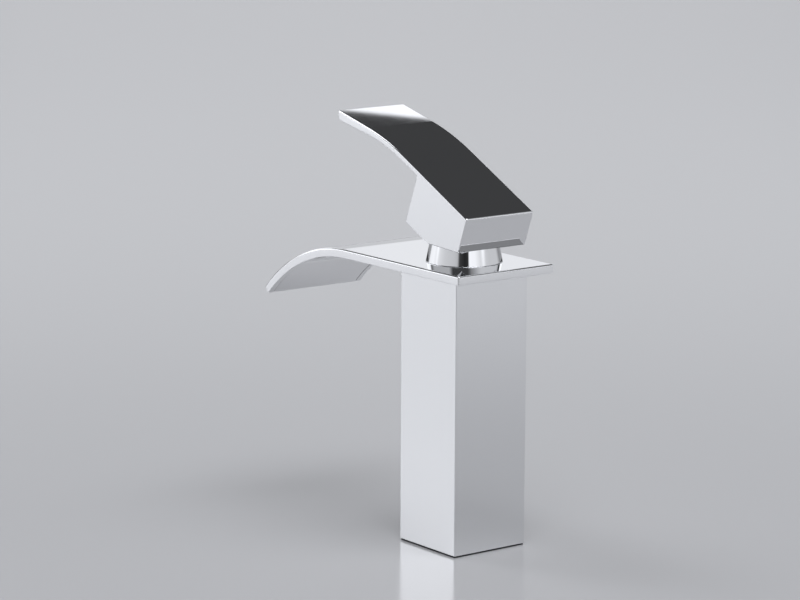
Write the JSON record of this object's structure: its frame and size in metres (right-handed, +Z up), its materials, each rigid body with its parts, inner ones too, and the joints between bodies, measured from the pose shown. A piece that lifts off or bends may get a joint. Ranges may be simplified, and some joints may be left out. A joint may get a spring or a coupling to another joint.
{
  "type": "waterfall basin faucet",
  "caption": "Tall square-column basin faucet with a thin curved waterfall spout and a lever that lifts for flow and turns for temperature.",
  "frame": {"origin": "centre of the column's foot on the deck, in the plane of the base gasket's underside", "axes": "+Z up along the column, -Y towards the spout's lip and the lever's tip, +X across the spout"},
  "size_m": [0.067, 0.1835, 0.2831],
  "materials": {
    "chrome": "mirror polished chrome plating",
    "brass": "machined brass, satin",
    "rubber": "matt black rubber",
    "cartridge_plastic": "moulded acetal, matt",
    "ceramic": "ground ceramic",
    "stainless": "turned stainless steel",
    "plug_plastic": "smooth moulded plastic"
  },
  "bodies": {
    "faucet_body": {"column_shell": "chrome", "foot_block": "brass", "base_gasket": "rubber", "valve_body": "brass", "duct_seals": "rubber", "spout_shell": "chrome", "spout_bottom_plate": "chrome", "dome_cover": "chrome", "dome_o_ring": "rubber", "cartridge_nut": "brass", "cartridge_housing": "cartridge_plastic", "cartridge_base": "cartridge_plastic", "port_seals": "rubber", "disc_seals": "rubber", "fixed_disc": "ceramic", "mounting_stud": "stainless", "horseshoe_rubber_washer": "rubber", "horseshoe_steel_washer": "stainless", "stud_nut": "stainless"},
    "collar": {"stem_collar": "cartridge_plastic", "collar_o_ring": "rubber", "stem_pin": "stainless"},
    "lever": {"handle_lever": "chrome", "stem": "stainless", "handle_grub_screw": "stainless", "index_plug": "plug_plastic"},
    "disc": {"moving_disc": "ceramic", "disc_carrier": "cartridge_plastic"}
  },
  "joints": [
    {"name": "temperature_turn", "type": "hinge", "parent": "faucet_body", "child": "collar", "pos_m": [0, 0, 0.1565], "axis": [0, 0, 1], "range_deg": [-45, 45]},
    {"name": "handle_lift", "type": "hinge", "parent": "collar", "child": "lever", "pos_m": [0, 0, 0.1565], "axis": [-1, 0, 0], "range_deg": [0, 20]},
    {"name": "disc_slide", "type": "slide", "parent": "collar", "child": "disc", "axis": [0, -1, 0], "range_m": [0, 0.0039]}
  ],
  "couplings": [
    {"joint": "disc_slide", "follows": "handle_lift", "m_per_rad": 0.011}
  ]
}
